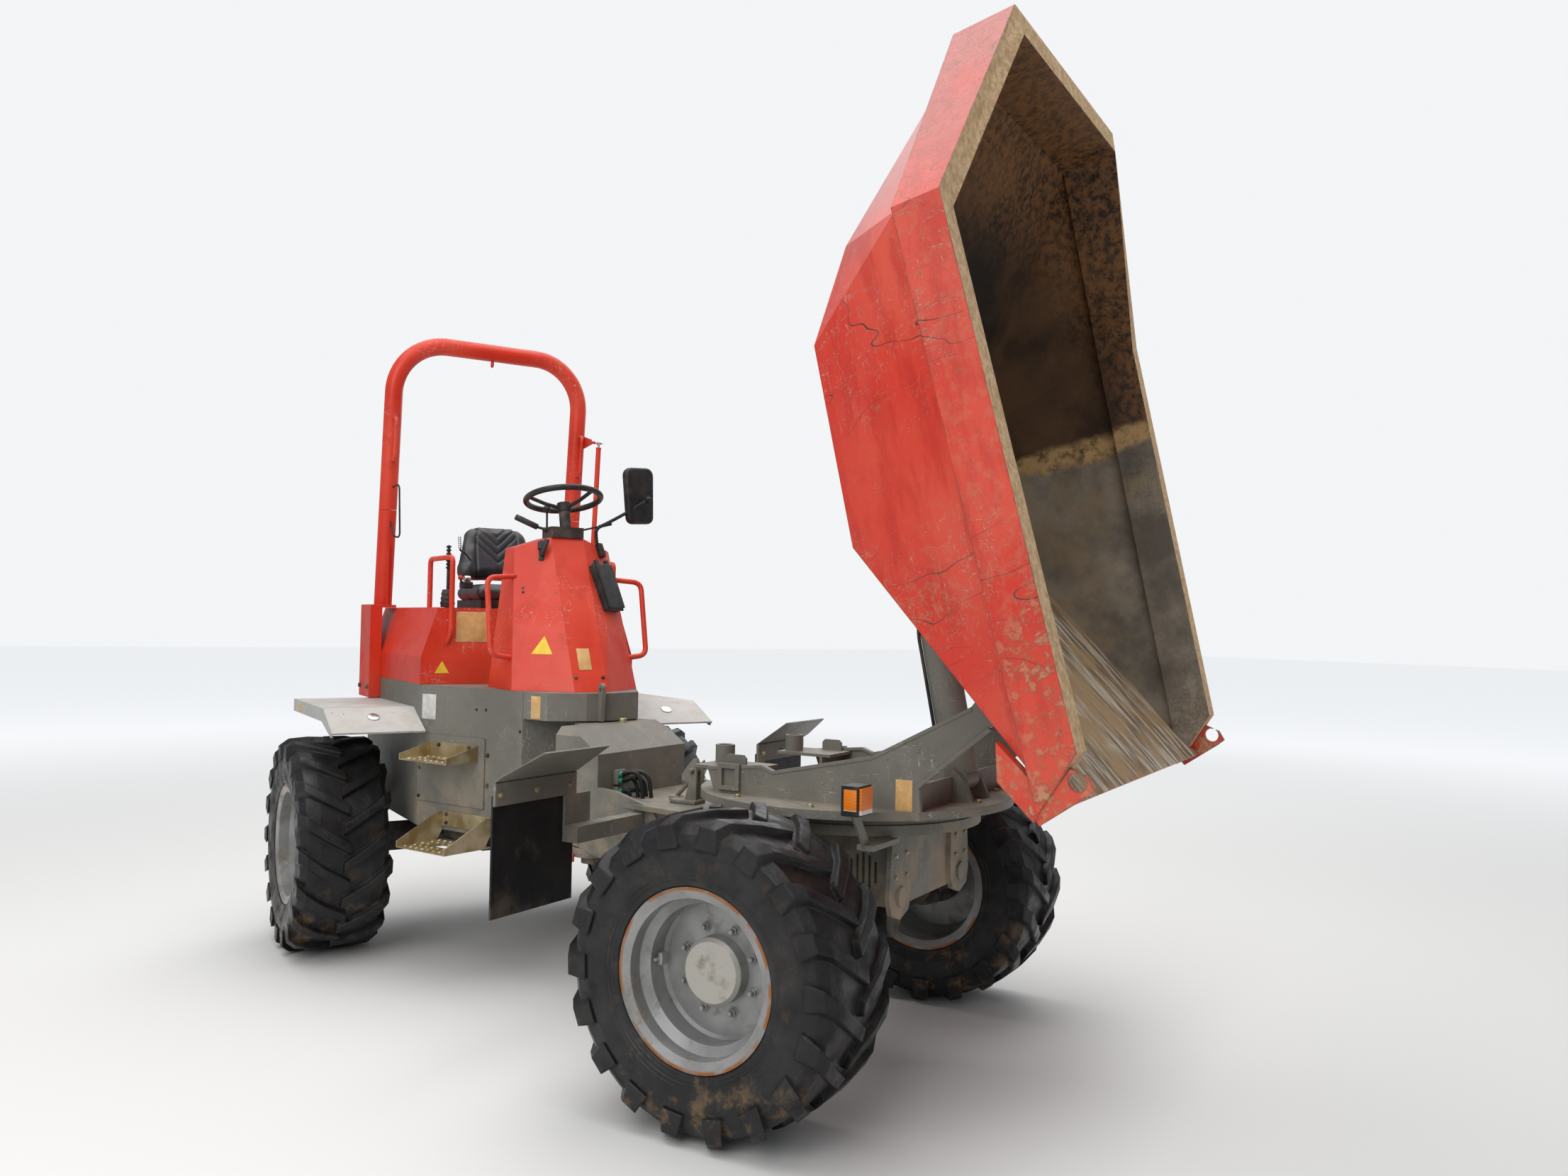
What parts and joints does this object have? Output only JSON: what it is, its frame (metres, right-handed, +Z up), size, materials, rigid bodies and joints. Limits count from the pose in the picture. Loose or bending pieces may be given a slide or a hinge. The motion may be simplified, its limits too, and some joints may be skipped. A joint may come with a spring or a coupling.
{
  "type": "site dumper",
  "caption": "Articulated site dumper with a swivelling tipping skip at the front and an open driving position under a folding rollover hoop at the back.",
  "frame": {"origin": "on the ground under the middle of the parked machine's bounding box", "axes": "+X forward along the rear unit, +Y to its left, +Z up; the front unit is steered 27.75 degrees to the left"},
  "size_m": [4.5289, 3.0012, 3.5551],
  "materials": {
    "red_paint": "sun-faded orange-red paint, scratched",
    "grey_paint": "warm light grey paint",
    "silver_paint": "silver-grey wheel paint",
    "zinc": "yellow zinc plate",
    "tyre": "worn black tyre rubber",
    "black_rubber": "black rubber sheet",
    "black_plastic": "black moulded plastic",
    "seat_vinyl": "black vinyl",
    "dark_iron": "dirty cast iron",
    "bright_rod": "hard chrome",
    "lamp_lens": "amber and clear lens",
    "worn_skip": "red paint worn to brown rust inside"
  },
  "bodies": {
    "rear_unit": {"rear_chassis": "grey_paint", "steering_pin": "dark_iron", "lifting_eye": "grey_paint", "engine_block": "dark_iron", "rear_axle": "dark_iron", "locker_doors": "grey_paint", "steps": "zinc", "rear_cover": "red_paint", "console": "red_paint", "steering_column": "dark_iron", "steering_wheel": "black_plastic", "rear_fenders": "grey_paint", "document_box": "black_plastic", "hoop_cable": "black_rubber", "hoop_base": "red_paint", "seat_base": "black_plastic", "seat_cushion": "seat_vinyl", "seat_back": "seat_vinyl", "grab_rails": "red_paint", "control_lever": "black_rubber", "mirror_arm": "black_plastic", "mirror_head": "black_plastic"},
    "front_unit": {"front_chassis": "grey_paint", "front_axle": "dark_iron", "flap_carriers": "grey_paint", "mud_flaps": "black_rubber", "lamps": "lamp_lens", "lamp_stays": "grey_paint"},
    "turntable": {"turret": "grey_paint", "tip_pins": "bright_rod"},
    "skip": {"skip_tub": "worn_skip", "skip_rim": "red_paint", "skip_lugs": "red_paint", "skip_frame": "red_paint"},
    "hoop": {"rollover_hoop": "red_paint"},
    "tip_ram_tube": {"tip_ram_barrel": "grey_paint"},
    "tip_ram_piston": {"tip_ram_rod": "bright_rod"},
    "steer_ram_tube": {"steer_ram_barrel": "grey_paint"},
    "steer_ram_piston": {"steer_ram_rod": "bright_rod"},
    "strut_cylinder": {"strut_tube": "red_paint"},
    "strut_piston": {"strut_rod": "bright_rod"},
    "wheel_rear_left": {"tyre_rear_left": "tyre", "rim_rear_left": "silver_paint"},
    "wheel_rear_right": {"tyre_rear_right": "tyre", "rim_rear_right": "silver_paint"},
    "wheel_front_left": {"tyre_front_left": "tyre", "rim_front_left": "silver_paint"},
    "wheel_front_right": {"tyre_front_right": "tyre", "rim_front_right": "silver_paint"}
  },
  "joints": [
    {"name": "wheel_rear_left_spin", "type": "hinge", "parent": "rear_unit", "child": "wheel_rear_left", "pos_m": [-1.624, 0.407, 0.508], "axis": [0, 1, 0], "continuous": true},
    {"name": "wheel_rear_right_spin", "type": "hinge", "parent": "rear_unit", "child": "wheel_rear_right", "pos_m": [-1.624, -1.293, 0.508], "axis": [0, 1, 0], "continuous": true},
    {"name": "wheel_front_left_spin", "type": "hinge", "parent": "front_unit", "child": "wheel_front_left", "pos_m": [0.38646, 0.89126, 0.508], "axis": [-0.4656, 0.885, 0], "continuous": true},
    {"name": "wheel_front_right_spin", "type": "hinge", "parent": "front_unit", "child": "wheel_front_right", "pos_m": [1.17801, -0.61322, 0.508], "axis": [-0.4656, 0.885, 0], "continuous": true},
    {"name": "articulation_steer", "type": "hinge", "parent": "rear_unit", "child": "front_unit", "pos_m": [-0.324, -0.443, 0.7], "axis": [0, 0, 1], "range_deg": [-60.75, 5.25]},
    {"name": "turntable_swivel", "type": "hinge", "parent": "front_unit", "child": "turntable", "pos_m": [0.80436, 0.15066, 0.955], "axis": [0, 0, 1], "range_deg": [-90, 90]},
    {"name": "skip_tip", "type": "hinge", "parent": "turntable", "child": "skip", "pos_m": [1.43712, 0.48357, 1.365], "axis": [-0.4656, 0.885, 0], "range_deg": [-77, 0]},
    {"name": "tip_ram_pivot", "type": "hinge", "parent": "turntable", "child": "tip_ram_tube", "pos_m": [1.1849, 0.35087, 1.055], "axis": [-0.4656, 0.885, 0], "range_deg": [-78.68, 0]},
    {"name": "tip_ram_stroke", "type": "slide", "parent": "tip_ram_tube", "child": "tip_ram_piston", "axis": [-0.1737, -0.0914, 0.9805], "range_m": [-0.5235, 0.00001]},
    {"name": "steer_ram_pivot", "type": "hinge", "parent": "rear_unit", "child": "steer_ram_tube", "pos_m": [-0.884, -0.208, 0.598], "axis": [0, 0, 1], "range_deg": [-15.87, 1.37]},
    {"name": "steer_ram_stroke", "type": "slide", "parent": "steer_ram_tube", "child": "steer_ram_piston", "axis": [0.9937, 0.1121, 0], "range_m": [-0.02084, 0.24101]},
    {"name": "hoop_fold", "type": "hinge", "parent": "rear_unit", "child": "hoop", "pos_m": [-2.03835, -0.443, 2.175], "axis": [0, 1, 0], "range_deg": [-95, 0]},
    {"name": "strut_pivot", "type": "hinge", "parent": "rear_unit", "child": "strut_cylinder", "pos_m": [-1.814, 0.149, 2.03], "axis": [0, 1, 0], "range_deg": [-65.76, 0]},
    {"name": "strut_stroke", "type": "slide", "parent": "strut_cylinder", "child": "strut_piston", "axis": [0.0859, 0, 0.9963], "range_m": [-0.00001, 0.19842]}
  ],
  "couplings": [
    {"joint": "tip_ram_pivot", "follows": "skip_tip", "ratio": 1.0218},
    {"joint": "tip_ram_stroke", "follows": "skip_tip", "m_per_rad": 0.38953},
    {"joint": "steer_ram_pivot", "follows": "articulation_steer", "ratio": 0.26123},
    {"joint": "steer_ram_stroke", "follows": "articulation_steer", "m_per_rad": -0.2273},
    {"joint": "strut_pivot", "follows": "hoop_fold", "ratio": 0.69223},
    {"joint": "strut_stroke", "follows": "hoop_fold", "m_per_rad": -0.11967}
  ]
}
